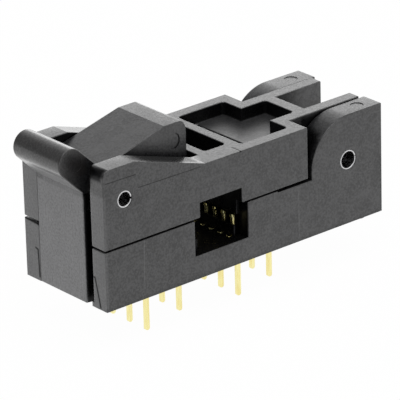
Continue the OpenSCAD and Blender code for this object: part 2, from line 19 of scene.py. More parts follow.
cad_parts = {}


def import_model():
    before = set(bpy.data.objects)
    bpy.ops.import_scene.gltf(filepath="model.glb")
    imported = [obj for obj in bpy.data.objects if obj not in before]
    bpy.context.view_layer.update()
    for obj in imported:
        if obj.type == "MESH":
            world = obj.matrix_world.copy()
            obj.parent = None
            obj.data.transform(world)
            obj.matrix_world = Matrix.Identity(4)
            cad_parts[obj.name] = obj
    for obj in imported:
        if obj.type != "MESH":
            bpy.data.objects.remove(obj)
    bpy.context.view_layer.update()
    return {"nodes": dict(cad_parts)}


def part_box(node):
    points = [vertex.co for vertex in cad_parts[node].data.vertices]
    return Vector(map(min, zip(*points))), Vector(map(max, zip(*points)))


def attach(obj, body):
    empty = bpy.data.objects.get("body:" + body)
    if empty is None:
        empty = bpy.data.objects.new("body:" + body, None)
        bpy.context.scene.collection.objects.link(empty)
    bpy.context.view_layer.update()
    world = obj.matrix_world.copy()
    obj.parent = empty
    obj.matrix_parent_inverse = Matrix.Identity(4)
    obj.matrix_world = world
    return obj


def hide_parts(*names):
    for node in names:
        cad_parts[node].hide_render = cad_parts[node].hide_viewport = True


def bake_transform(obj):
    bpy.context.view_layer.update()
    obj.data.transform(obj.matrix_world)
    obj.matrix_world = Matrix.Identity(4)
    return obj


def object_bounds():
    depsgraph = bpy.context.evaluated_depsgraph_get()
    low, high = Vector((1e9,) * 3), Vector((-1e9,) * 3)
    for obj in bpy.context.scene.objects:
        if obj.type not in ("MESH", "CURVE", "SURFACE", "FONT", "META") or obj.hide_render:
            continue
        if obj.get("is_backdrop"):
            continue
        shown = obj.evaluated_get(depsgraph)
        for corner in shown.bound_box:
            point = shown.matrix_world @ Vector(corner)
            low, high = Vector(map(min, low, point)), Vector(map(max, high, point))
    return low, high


LOG = logging.getLogger("socket")
MM = 0.001
# Most values of a noise texture lie in this range
NOISE_RANGE = (0.3, 0.7)
# Bevel profile of a round edge
ROUND = 0.5
# Distance within which a point of a solid counts as part of an edge
NEAR = 0.01
# Axis of the pins, about which angles run from X towards Z
ACROSS = Vector((0.0, -1.0, 0.0))

Pair = tuple[float, float]
Point = tuple[float, float, float]
Colour = tuple[float, float, float, float]
Socket = bpy.types.NodeSocket
Tree = bpy.types.NodeTree
Material = bpy.types.Material
Piece = bpy.types.Object
Shape = bmesh.types.BMesh
Face = bmesh.types.BMFace


class Body(Enum):
    """The rigid bodies of the socket."""

    BASE = "base"
    LID = "lid"
    LATCH = "latch"


class Slot(Enum):
    """The record's material slots."""

    BASE_PLASTIC = "base_plastic"
    LID_PLASTIC = "lid_plastic"
    LATCH_PLASTIC = "latch_plastic"
    PIN_STEEL = "pin_steel"
    SPRING_STEEL = "spring_steel"
    CONTACT_GOLD = "contact_gold"


class LineKind(Enum):
    """How a fine line on a moulding looks."""

    # Dark lines are grooves, and also painted shade along edges and round a mark's rim
    DARK_LINE = "dark groove"
    WITNESS = "pale ridge"


@dataclass(frozen=True)
class Zone:
    """A box.

    Args:
        low: Its lowest corner.
        high: Its highest corner.
        soft: Width of the soft border inside it.
    """

    low: Point
    high: Point
    soft: float = 0.04

    def holds(self, point: Vector) -> bool:
        """Returns whether a point, in metres, lies in the box."""
        return all(a <= c / MM <= b for a, c, b in zip(self.low, point, self.high))


@dataclass(frozen=True)
class Hairline:
    """A fine line on a moulding, such as a parting line, a knit line or a line of painted shade along an
    edge.

    Args:
        start: One end.
        end: The other end.
        kind: Whether it is a dark line, which is a groove or painted shade, or a pale ridge.
        width: Half its width.
        strength: How clear it is, from 0 to 1.
    """

    start: Point
    end: Point
    kind: LineKind = LineKind.DARK_LINE
    width: float = 0.09
    strength: float = 1.0


def joined_lines(points: Sequence[Point], width: float, strength: float = 1.0) -> tuple[Hairline, ...]:
    """Returns the dark lines, grooves or painted shade, that join several points in turn."""
    return tuple(Hairline(a, b, width=width, strength=strength) for a, b in zip(points, points[1:]))


@dataclass(frozen=True)
class WearOrLightPatch:
    """A patch of a moulding with its own colour and streaks: wear, and painted light where its colour is
    lighter.

    Args:
        zone: The box that it fills.
        colour: Colour there.
        rough: Roughness there.
        stretch: Stretch of its streaks for each axis.
        streak_range: Range of the streaks' noise from the faintest to the clearest ones.
        faintest: Share of the colour in the faintest streaks.
    """

    zone: Zone
    colour: Colour
    rough: float
    stretch: Point
    streak_range: Pair = (0.3, 0.65)
    faintest: float = 0.5


class Graph:
    """A node tree that is filled in by code."""

    def __init__(self, tree: Tree) -> None:
        """Keeps a tree and empties it."""
        self.tree = tree
        tree.nodes.clear()

    @classmethod
    def of(cls, owner: Material | bpy.types.World) -> "Graph":
        """Returns the empty graph of a material or a world."""
        owner.use_nodes = True
        return cls(owner.node_tree)

    def add(
        self, kind: str, *values: object, named: dict[str, object] | None = None, **settings: object
    ) -> bpy.types.Node:
        """Adds a node, and links or sets its inputs.

        Args:
            kind: The node's type name.
            values: Outputs of other nodes or plain values for its inputs, in order, without the hidden ones.
            named: The same for inputs by name.
            settings: Attributes of the node, and their values.

        Returns:
            The new node.
        """
        node = self.tree.nodes.new(kind)
        for name, value in settings.items():
            setattr(node, name, value)
        pairs = list(zip([s for s in node.inputs if s.enabled], values))
        pairs += [(node.inputs[name], value) for name, value in (named or {}).items()]
        for socket, value in pairs:
            if isinstance(value, Socket):
                self.tree.links.new(value, socket)
            else:
                socket.default_value = value
        return node

    def result(self, kind: str, *values: object, **settings: object) -> Socket:
        """Adds a node and returns the first output that its settings don't hide."""
        return next(s for s in self.add(kind, *values, **settings).outputs if s.enabled)

    def math(self, operation: str, *values: object, clamp: bool = False) -> Socket:
        """Returns the result of a Math node, kept between 0 and 1 if it is clamped."""
        return self.result("ShaderNodeMath", *values, operation=operation, use_clamp=clamp)

    def vector(self, operation: str, *values: object) -> Socket:
        """Returns the result of a Vector Math node, which is a vector or a number."""
        return self.result("ShaderNodeVectorMath", *values, operation=operation)

    def remap(self, value: object, low: object, high: object, to_low: float, to_high: float) -> Socket:
        """Returns a value that a Map Range node eases from one range, low to high, into another."""
        ends = (low, high, to_low, to_high)
        return self.result("ShaderNodeMapRange", value, *ends, interpolation_type="SMOOTHSTEP")

    def blend(self, factor: object, first: object, second: object, kind: str = "RGBA") -> Socket:
        """Returns a mix of two colours or, with the kind FLOAT, of two numbers."""
        return self.result("ShaderNodeMix", factor, first, second, data_type=kind)

    def weighted(self, first: Socket, second: Socket, share: float) -> Socket:
        """Returns the sum of two numbers, of which the first one has a given share."""
        parts = (self.math("MULTIPLY", first, share), self.math("MULTIPLY", second, 1 - share))
        return self.math("ADD", *parts)

    def highest(self, masks: Iterable[Socket]) -> Socket | float:
        """Returns the highest of several masks, or 0 where there is none."""
        return reduce(lambda top, mask: self.math("MAXIMUM", top, mask), masks, 0.0)

    def noise(self, place: Socket, scale: object, detail: float) -> Socket:
        """Returns the value of a noise texture."""
        values = {"Vector": place, "Scale": scale, "Detail": detail}
        return self.result("ShaderNodeTexNoise", named=values)

    def bump(self, strength: float, depth: float, height: Socket) -> Socket:
        """Returns the normal of a bumpy surface."""
        values = {"Strength": strength, "Distance": depth * MM, "Height": height}
        return self.result("ShaderNodeBump", named=values)

    def place(self) -> Socket:
        """Returns the Object coordinates in millimetres."""
        return self.vector("SCALE", self.add("ShaderNodeTexCoord").outputs["Object"], 1 / MM)


class Effects:
    """Shader node groups that several finishes share."""

    speckle_detail: float = 3.0
    mottle_detail: float = 2.0
    streak_detail: float = 4.0
    pits_per_grain: float = 1.4

    def __init__(self) -> None:
        """Builds the groups once."""
        self.grain = self._grain()
        self.hairline = self._hairline()
        self.streaks = self._streaks()
        self.patch = self._patch()

    @staticmethod
    def _start(
        name: str, vectors: Iterable[str], floats: Iterable[str], outputs: Iterable[str]
    ) -> tuple[Graph, list[Socket]]:
        """Begins a group.

        Args:
            name: Its name.
            vectors: The names of its vector inputs.
            floats: The names of its float inputs.
            outputs: The names of its float outputs.

        Returns:
            Its graph, and its inputs in order.
        """
        tree = bpy.data.node_groups.new(name, "ShaderNodeTree")
        for label in vectors:
            tree.interface.new_socket(label, in_out="INPUT", socket_type="NodeSocketVector")
        for way, labels in (("INPUT", floats), ("OUTPUT", outputs)):
            for label in labels:
                tree.interface.new_socket(label, in_out=way, socket_type="NodeSocketFloat")
        graph = Graph(tree)
        # The last output of the node has no name and stands for a new input
        return graph, [s for s in graph.add("NodeGroupInput").outputs if s.name]

    def _grain(self) -> Tree:
        """Builds the grain of a moulded surface.

        Returns:
            The group, which gives a fine speckle, a broad mottle and the height of the grain.
        """
        outputs = ("Speckle", "Mottle", "Height")
        graph, (place, grain, patch) = self._start("moulded grain", ("Place",), ("Grain", "Mottle"), outputs)
        speckle = graph.noise(place, graph.math("DIVIDE", 1.0, grain), self.speckle_detail)
        mottle = graph.noise(place, graph.math("DIVIDE", 1.0, patch), self.mottle_detail)
        values = {"Vector": place, "Scale": graph.math("DIVIDE", self.pits_per_grain, grain)}
        pits = graph.result("ShaderNodeTexVoronoi", named=values, feature="SMOOTH_F1")
        graph.add("NodeGroupOutput", speckle, mottle, graph.math("MULTIPLY", pits, speckle))
        return graph.tree

    def _hairline(self) -> Tree:
        """Builds a fine line between two points on a surface.

        Returns:
            The group, which gives the line's mask.
        """
        vectors, floats = ("Place", "Start", "End"), ("Width", "Strength")
        graph, (place, start, end, width, strength) = self._start("hairline", vectors, floats, ("Mask",))
        reach = graph.vector("SUBTRACT", place, start)
        run = graph.vector("SUBTRACT", end, start)
        dots = (graph.vector("DOT_PRODUCT", other, run) for other in (reach, run))
        along = graph.vector("SCALE", run, graph.math("DIVIDE", *dots, clamp=True))
        gap = graph.vector("LENGTH", graph.vector("SUBTRACT", reach, along))
        mask = graph.remap(gap, 0.0, width, 1.0, 0.0)
        graph.add("NodeGroupOutput", graph.math("MULTIPLY", mask, strength))
        return graph.tree

    def _streaks(self) -> Tree:
        """Builds fine streaks, drawn out along the axis whose stretch is smallest.

        Returns:
            The group, which gives the streaks' value.
        """
        graph, (place, stretch) = self._start("drawn streaks", ("Place", "Stretch"), (), ("Streak",))
        drawn = graph.vector("MULTIPLY", place, stretch)
        graph.add("NodeGroupOutput", graph.noise(drawn, 1.0, self.streak_detail))
        return graph.tree

    def _patch(self) -> Tree:
        """Builds the inside of a box, soft at its sides.

        Returns:
            The group, which gives the box's mask.
        """
        vectors = ("Place", "Low", "High")
        graph, (place, low, high, border) = self._start("box mask", vectors, ("Border",), ("Mask",))
        above, below = graph.vector("SUBTRACT", place, low), graph.vector("SUBTRACT", high, place)
        inside = graph.vector("MINIMUM", above, below)
        x, y, z = graph.add("ShaderNodeSeparateXYZ", inside).outputs
        least = graph.math("MINIMUM", graph.math("MINIMUM", x, y), z)
        graph.add("NodeGroupOutput", graph.remap(least, 0.0, border, 0.0, 1.0))
        return graph.tree

    @staticmethod
    def use(graph: Graph, tree: Tree, **values: object) -> dict[str, Socket]:
        """Places a group in a material, with its inputs by name, and returns its outputs by name."""
        node = graph.add("ShaderNodeGroup", named=values, node_tree=tree)
        return {s.name: s for s in node.outputs}

    def box(self, graph: Graph, place: Socket, zone: Zone) -> Socket:
        """Returns the mask of a box in a material."""
        limits = {"Low": zone.low, "High": zone.high, "Border": zone.soft}
        return self.use(graph, self.patch, Place=place, **limits)["Mask"]

    def line(self, graph: Graph, place: Socket, line: Hairline) -> Socket:
        """Returns the mask of a fine line in a material."""
        limits = {"Start": line.start, "End": line.end, "Width": line.width, "Strength": line.strength}
        return self.use(graph, self.hairline, Place=place, **limits)["Mask"]


@dataclass(frozen=True)
class PlasticFinish:
    """Black moulded plastic: glossy on the outer faces, where its grain shows, with painted shade in shaded
    places.

    Args:
        dark: Colour in the low spots of the grain.
        light: Colour on its high spots.
        shade_and_line_colour: Colour of the painted shade and of the dark lines.
        pale: Colour of the pale ridges.
        grain: Size of the grain.
        mottle: Size of the broad, faint patches.
        speckle: Share of the grain in the tone, beside the patches.
        tone_range: Range of the noise from the low spots to the high spots.
        depth: Depth of the grain.
        relief: How strongly that depth shows.
        smooth: Roughness where the surface is smoothest.
        rough: Roughness where it is roughest.
        index: Index of refraction of the plastic.
        skin_index: Index of the glossy skin, raised by the mineral filler.
        skin_low: Weight of that skin in the low spots of the grain.
        skin_high: Weight on its high spots.
        pocket: How strongly the painted shade darkens and takes the rest of the sheen, from 0 to 1.
    """

    dark: Colour = (0.004, 0.004, 0.0045, 1.0)
    light: Colour = (0.019, 0.019, 0.0205, 1.0)
    shade_and_line_colour: Colour = (0.0005, 0.0005, 0.0005, 1.0)
    pale: Colour = (0.08, 0.08, 0.082, 1.0)
    grain: float = 0.2
    mottle: float = 1.6
    speckle: float = 0.75
    tone_range: Pair = (0.36, 0.64)
    depth: float = 0.02
    relief: float = 0.4
    smooth: float = 0.24
    rough: float = 0.32
    index: float = 1.3
    skin_index: float = 1.65
    skin_low: float = 0.68
    skin_high: float = 1.0
    pocket: float = 0.55

    def material(
        self,
        name: str,
        effects: Effects,
        lines: Sequence[Hairline],
        dull: Sequence[Zone],
        wear_and_light: Sequence[WearOrLightPatch],
    ) -> Material:
        """Makes the material.

        Args:
            name: Its name.
            effects: The shared node groups.
            lines: The fine lines on the piece.
            dull: Where shade is painted, dark and without gloss: pockets and faces in a neighbour's shade.
            wear_and_light: Patches of wear, and patches of painted light.

        Returns:
            The material.
        """
        material = bpy.data.materials.new(name)
        graph = Graph.of(material)
        place = graph.place()
        grain = effects.use(graph, effects.grain, Place=place, Grain=self.grain, Mottle=self.mottle)
        tone = graph.weighted(grain["Speckle"], grain["Mottle"], self.speckle)
        tone = graph.remap(tone, *self.tone_range, 0.0, 1.0)
        colour = graph.blend(tone, self.dark, self.light)
        skin = graph.blend(tone, self.skin_low, self.skin_high, "FLOAT")
        rough = graph.remap(grain["Mottle"], *NOISE_RANGE, self.smooth, self.rough)
        # Worn patches, and lighter patches of painted light
        for wear_or_light_patch in wear_and_light:
            patch = effects.box(graph, place, wear_or_light_patch.zone)
            streak = effects.use(graph, effects.streaks, Place=place, Stretch=wear_or_light_patch.stretch)["Streak"]
            streak = graph.remap(streak, *wear_or_light_patch.streak_range, wear_or_light_patch.faintest, 1.0)
            colour = graph.blend(graph.math("MULTIPLY", patch, streak), colour, wear_or_light_patch.colour)
            rough = graph.blend(patch, rough, wear_or_light_patch.rough, "FLOAT")
        dark_line_mask, ridge = (
            graph.highest(effects.line(graph, place, line) for line in lines if line.kind is kind)
            for kind in LineKind
        )
        # Painted shade: the shaded boxes turn dark and lose their gloss, as the dark lines do
        painted_shade_mask = graph.highest(effects.box(graph, place, zone) for zone in dull)
        shade_and_dark_lines = graph.math("MAXIMUM", graph.math("MULTIPLY", painted_shade_mask, self.pocket), dark_line_mask)
        colour = graph.blend(shade_and_dark_lines, graph.blend(ridge, colour, self.pale), self.shade_and_line_colour)
        open_share = graph.math("SUBTRACT", 1.0, graph.math("MAXIMUM", painted_shade_mask, dark_line_mask))
        height = graph.math("SUBTRACT", graph.math("ADD", grain["Height"], ridge), dark_line_mask)
        normal = graph.bump(self.relief, self.depth, height)
        values = {
            "Base Color": colour,
            "IOR": self.index,
            "Metallic": shade_and_dark_lines,
            "Roughness": rough,
            "Coat Weight": graph.math("MULTIPLY", skin, open_share),
            "Coat IOR": self.skin_index,
            "Coat Roughness": self.rough,
            "Normal": normal,
            "Coat Normal": normal,
        }
        graph.add("ShaderNodeOutputMaterial", graph.result("ShaderNodeBsdfPrincipled", named=values))
        return material


@dataclass(frozen=True)
class MetalFinish:
    """Bare or plated metal with fine drawn streaks.

    Args:
        dull: Colour in the streaks.
        bright: Colour between them.
        stretch: Stretch of the streaks for each axis.
        smooth: Lowest roughness.
        rough: Highest roughness.
        depth: Depth of the streaks.
        relief: How strongly that depth shows.
        streaks: Share of the streaks in the tone, beside the stains.
        grain: Size of the grain from which the stains are made.
        stains: Size of the stains.
    """

    dull: Colour
    bright: Colour
    stretch: Point
    smooth: float
    rough: float
    depth: float = 0.004
    relief: float = 0.3
    streaks: float = 0.6
    grain: float = 0.5
    stains: float = 1.2

    def material(self, name: str, effects: Effects) -> Material:
        """Makes the material.

        Args:
            name: Its name.
            effects: The shared node groups.

        Returns:
            The material.
        """
        material = bpy.data.materials.new(name)
        graph = Graph.of(material)
        place = graph.place()
        streak = effects.use(graph, effects.streaks, Place=place, Stretch=self.stretch)["Streak"]
        grain = effects.use(graph, effects.grain, Place=place, Grain=self.grain, Mottle=self.stains)
        tone = graph.remap(graph.weighted(streak, grain["Mottle"], self.streaks), *NOISE_RANGE, 0.0, 1.0)
        values = {
            "Base Color": graph.blend(tone, self.dull, self.bright),
            "Metallic": 1.0,
            "Roughness": graph.remap(grain["Mottle"], *NOISE_RANGE, self.smooth, self.rough),
            "Normal": graph.bump(self.relief, self.depth, streak),
        }
        graph.add("ShaderNodeOutputMaterial", graph.result("ShaderNodeBsdfPrincipled", named=values))
        return material


BLACK_PLASTIC = PlasticFinish()
ROLLED_STEEL = MetalFinish(
    dull=(0.46, 0.46, 0.47, 1.0),
    bright=(0.74, 0.74, 0.75, 1.0),
    stretch=(6.0, 0.5, 6.0),
    smooth=0.2,
    rough=0.36,
)
SPRING_WIRE = MetalFinish(
    dull=(0.28, 0.28, 0.29, 1.0),
    bright=(0.52, 0.52, 0.53, 1.0),
    stretch=(4.0, 4.0, 4.0),
    smooth=0.25,
    rough=0.4,
)
GOLD_PLATE = MetalFinish(
    dull=(0.88, 0.75, 0.31, 1.0),
    bright=(1.0, 0.94, 0.5, 1.0),
    stretch=(7.0, 7.0, 0.8),
    smooth=0.2,
    rough=0.34,
)


def shade_smooth(bm: Shape, sharp_turn: float = 50.0) -> None:
    """Shades a shape smooth, apart from its sharp edges.

    Args:
        bm: The shape.
        sharp_turn: Edges that turn by more than this stay sharp.
    """
    for face in bm.faces:
        face.smooth = True
    for edge in bm.edges:
        edge.smooth = edge.calc_face_angle(0.0) < math.radians(sharp_turn)


def extrude(bm: Shape, faces: Sequence[Face], move: Vector) -> list[Face]:
    """Extrudes faces along a line.

    Args:
        bm: The shape.
        faces: Some of its faces.
        move: How far they go, in metres.

    Returns:
        The moved faces.
    """
    made = bmesh.ops.extrude_face_region(bm, geom=faces)["geom"]
    bmesh.ops.translate(bm, verts=[g for g in made if isinstance(g, bmesh.types.BMVert)], vec=move)
    return [g for g in made if isinstance(g, Face)]


def new_object(name: str, bm: Shape, material: Material) -> Piece:
    """Makes an object from a bmesh, and frees the bmesh.

    Args:
        name: The object's name.
        bm: Its shape, in metres in the part's frame.
        material: Its material.

    Returns:
        The object, at the origin.
    """
    mesh = bpy.data.meshes.new(name)
    bm.to_mesh(mesh)
    bm.free()
    mesh.materials.append(material)
    made = bpy.data.objects.new(name, mesh)
    bpy.context.scene.collection.objects.link(made)
    return made


def new_piece(name: str, bm: Shape, material: Material, slot: Slot, node: str = "") -> Piece:
    """Makes a piece of the socket, which has still to join its body.

    Args:
        name: The piece's name.
        bm: Its shape, in metres in the part's frame.
        material: Its material.
        slot: The material slot whose finish it has, which is only logged.
        node: The CAD node it replaces, if any.

    Returns:
        The piece.
    """
    piece = new_object(name, bm, material)
    piece.modifiers.new("flat faces stay flat", "WEIGHTED_NORMAL").keep_sharp = True
    if node:
        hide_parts(node)
    LOG.info("%s: %d faces, finished as %s", name, len(piece.data.polygons), slot.value)
    return piece


@dataclass(frozen=True)
class FullerRound:
    """A rounded corner of a solid, drawn across the width, that becomes a larger quarter of an ellipse.

    Args:
        corner: Where its back and its top would meet, along X and Z.
        radius: Its radius in the CAD solid.
        fuller: Its new radii along X and Z.
    """

    corner: Pair
    radius: float
    fuller: Pair

    def reshape(self, bm: Shape) -> None:
        """Moves the points of the old arc onto the new one.

        Args:
            bm: The solid's shape.
        """
        corner, fuller = Vector(self.corner), Vector(self.fuller)
        centre = corner - Vector((self.radius, self.radius))
        for vert in bm.verts:
            reach = vert.co.xz / MM - centre
            if min(reach) > -NEAR and abs(reach.length - self.radius) < NEAR:
                vert.co.xz = (corner - fuller + reach * fuller / self.radius) * MM


@dataclass(frozen=True)
class MovedEdge:
    """A straight edge of a solid, drawn across the width, whose ends are moved.

    Args:
        place: Where it lies, along X and Z.
        way: The direction in which its ends go, along X and Z.
        shifts: How far its near and its far end go.
    """

    place: Pair
    way: Pair
    shifts: Pair

    def reshape(self, bm: Shape) -> None:
        """Moves the two ends.

        Args:
            bm: The solid's shape.
        """
        way = Vector(self.way).normalized()
        for vert in bm.verts:
            if (vert.co.xz / MM - Vector(self.place)).length < NEAR:
                vert.co.xz += way * self.shifts[vert.co.y > 0] * MM


@dataclass
class RoundedSolid:
    """A CAD solid whose outer edges are rounded.

    Args:
        node: The CAD node.
        suffix: What the piece's name adds to the node's.
        body: The body it rides on.
        slot: Its material slot.
        edge: Radius of the rounded edges.
        sharp: Boxes in which edges stay sharp.
        steps: Faces across a rounded edge.
        changes: Small changes of shape that come before the rounding.
        merge: Gap below which two points are one.
        same_plane: Turn below which two faces are one.
        flat_turn: Turn below which two faces are part of a curve.
        least_turn: Turn from which an edge is rounded.
        room: How many radii wide the faces beside a rounded edge are at least.
    """

    node: str
    suffix: str
    body: Body
    slot: Slot
    edge: float
    sharp: tuple[Zone, ...] = ()
    steps: int = 2
    changes: tuple[FullerRound | MovedEdge, ...] = ()
    merge: float = 0.0005
    same_plane: float = 0.6
    flat_turn: float = 9.0
    least_turn: float = 32.0
    room: float = 2.2

    def build(self, source: Piece, material: Material) -> None:
        """Copies the solid, rounds its edges and puts it in the node's place.

        Args:
            source: The CAD node's object.
            material: The piece's material.
        """
        bm = bmesh.new()
        bm.from_mesh(source.data)
        bmesh.ops.remove_doubles(bm, verts=bm.verts, dist=self.merge * MM)
        bmesh.ops.dissolve_limit(
            bm, angle_limit=math.radians(self.same_plane), use_dissolve_boundaries=False, verts=bm.verts,
            edges=bm.edges, delimit=set(),
        )
        for change in self.changes:
            change.reshape(bm)
        rounds = bmesh.ops.bevel(
            bm, geom=[e for e in bm.edges if self._rounded(e)], offset=self.edge * MM, offset_type="OFFSET",
            affect="EDGES", segments=self.steps, profile=ROUND, material=-1, clamp_overlap=False,
        )
        self._shade(bm, set(rounds["faces"]))
        piece = new_piece(f"{self.node}_{self.suffix}", bm, material, self.slot, self.node)
        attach(piece, self.body.value)

    def _shade(self, bm: Shape, rounds: set[Face]) -> None:
        """Shades the rounded edges and the curved faces smooth, and the flat faces flat.

        Args:
            bm: The shape.
            rounds: The faces of its rounded edges.
        """
        shade_smooth(bm)
        bends = math.radians(self.flat_turn)
        plain = [e for e in bm.edges if rounds.isdisjoint(e.link_faces)]
        for edge in plain:
            edge.smooth = edge.calc_face_angle(0.0) < bends
        curved = rounds.union(f for e in plain if e.smooth for f in e.link_faces)
        for face in bm.faces:
            face.smooth = face in curved

    def _rounded(self, edge: bmesh.types.BMEdge) -> bool:
        """Tells which edges are rounded.

        Args:
            edge: An edge of the solid.

        Returns:
            Whether it is an outer one, with room beside it, outside the sharp boxes.
        """
        if not edge.is_manifold or edge.calc_face_angle_signed() < math.radians(self.least_turn):
            return False
        ends = [v.co for v in edge.verts]
        if any(zone.holds((ends[0] + ends[1]) / 2) for zone in self.sharp):
            return False
        return all(self._width(face, ends) > self.room * self.edge * MM for face in edge.link_faces)

    @staticmethod
    def _width(face: Face, ends: list[Vector]) -> float:
        """Returns how far a face reaches from the line through two points."""
        along = (ends[1] - ends[0]).normalized()
        return max(((v.co - ends[0]) - along * (v.co - ends[0]).dot(along)).length for v in face.verts)


@dataclass
class RolledPin:
    """A hollow pin, rolled from strip with a slot along it.

    Args:
        node: The CAD node.
        body: The body that holds it.
        slot_turn: Direction of the slot, from X towards Z.
        gap: Width of the slot.
        wall: Thickness of the strip.
        rim: Radius on the edges of its ends.
        rim_steps: Faces across such an edge.
        steps: Faces round the pin.
    """

    node: str
    body: Body
    slot_turn: float
    gap: float
    wall: float = 0.15
    rim: float = 0.05
    rim_steps: int = 3
    steps: int = 72

    def build(self, material: Material) -> None:
        """Spins the strip's section round the pin's axis.

        Args:
            material: The pin's material.
        """
        low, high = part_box(self.node)
        outer = (high.z - low.z) / 2
        half_gap = math.asin(self.gap * MM / 2 / outer)
        bm = bmesh.new()
        strip = bmesh.ops.create_grid(bm, x_segments=1, y_segments=1, size=0.5)["verts"]
        bmesh.ops.scale(bm, verts=strip, vec=(self.wall * MM, high.y - low.y, 1.0))
        bmesh.ops.translate(bm, verts=strip, vec=(outer - self.wall * MM / 2, 0.0, 0.0))
        bmesh.ops.bevel(
            bm, geom=strip, offset=self.rim * MM, affect="VERTICES", segments=self.rim_steps, profile=ROUND,
            material=-1,
        )
        start = math.radians(self.slot_turn) + half_gap
        bmesh.ops.rotate(bm, verts=bm.verts, cent=(0, 0, 0), matrix=Matrix.Rotation(start, 3, ACROSS))
        bmesh.ops.spin(
            bm, geom=bm.verts[:] + bm.edges[:] + bm.faces[:], cent=(0, 0, 0), axis=ACROSS, dvec=(0, 0, 0),
            angle=2 * math.pi - 2 * half_gap, steps=self.steps, use_merge=False,
        )
        bmesh.ops.translate(bm, verts=bm.verts, vec=(low + high) / 2)
        bmesh.ops.recalc_face_normals(bm, faces=bm.faces)
        shade_smooth(bm)
        piece = new_piece(f"{self.node}_tube", bm, material, Slot.PIN_STEEL, self.node)
        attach(piece, self.body.value)


@dataclass
class TorsionSpring:
    """A wire spring: a straight leg, a coil about a pin and a second leg.

    Args:
        node: The CAD node.
        first: The body that the first leg rests on; not used.
        second: The body that the second leg rests on; not used.
        pin: The CAD node of the pin inside the coil.
        wire: Diameter of the wire.
        start: Angle where the coil begins, from X towards Z.
        end: Angle where it ends.
        rows: Places across the width where the coil begins and ends.
        legs: Lengths of the two legs.
        coil_gap: Gap between the coil and the pin.
        sides: Faces round the wire.
        steps_per_turn: Faces along one turn of the coil.
    """

    node: str
    first: Body
    second: Body
    pin: str
    wire: float
    start: float
    end: float
    rows: Pair
    legs: Pair
    coil_gap: float = 0.25
    sides: int = 14
    steps_per_turn: int = 48

    def build(self, material: Material) -> None:
        """Draws the wire out along its legs and its coil.

        Args:
            material: The wire's material.
        """
        low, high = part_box(self.pin)
        centre = (low + high) / 2
        radius = (high.z - low.z) / 2 + (self.coil_gap + self.wire / 2) * MM
        angle = math.radians(self.start)
        out = Vector((math.cos(angle), 0.0, math.sin(angle)))
        along = ACROSS.cross(out)
        bm = bmesh.new()
        bmesh.ops.create_circle(bm, cap_ends=True, segments=self.sides, radius=self.wire * MM / 2)
        turn = Vector((0, 0, 1)).rotation_difference(along).to_matrix()
        begin = Vector((centre.x, self.rows[0] * MM, centre.z)) + radius * out
        bmesh.ops.rotate(bm, verts=bm.verts, cent=(0, 0, 0), matrix=turn)
        bmesh.ops.translate(bm, verts=bm.verts, vec=begin - along * self.legs[0] * MM)
        tip = extrude(bm, bm.faces[:], along * self.legs[0] * MM)
        sweep = math.radians(self.end - self.start)
        steps = round(sweep / (2 * math.pi) * self.steps_per_turn)
        rise = Vector((0.0, (self.rows[1] - self.rows[0]) * MM / steps, 0.0))
        spun = bmesh.ops.spin(
            bm, geom=self._all(tip), cent=(centre.x, 0.0, centre.z), axis=ACROSS, dvec=rise, angle=sweep,
            steps=steps, use_merge=False,
        )
        tip = [g for g in spun["geom_last"] if isinstance(g, Face)]
        last = Matrix.Rotation(sweep, 3, ACROSS) @ along
        extrude(bm, tip, last * self.legs[1] * MM)
        bmesh.ops.recalc_face_normals(bm, faces=bm.faces)
        shade_smooth(bm)
        piece = new_piece(f"{self.node}_wire", bm, material, Slot.SPRING_STEEL, self.node)
        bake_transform(piece)

    @staticmethod
    def _all(faces: list[Face]) -> list:
        """Returns faces with their edges and vertices."""
        return [*{v for f in faces for v in f.verts}, *{e for f in faces for e in f.edges}, *faces]


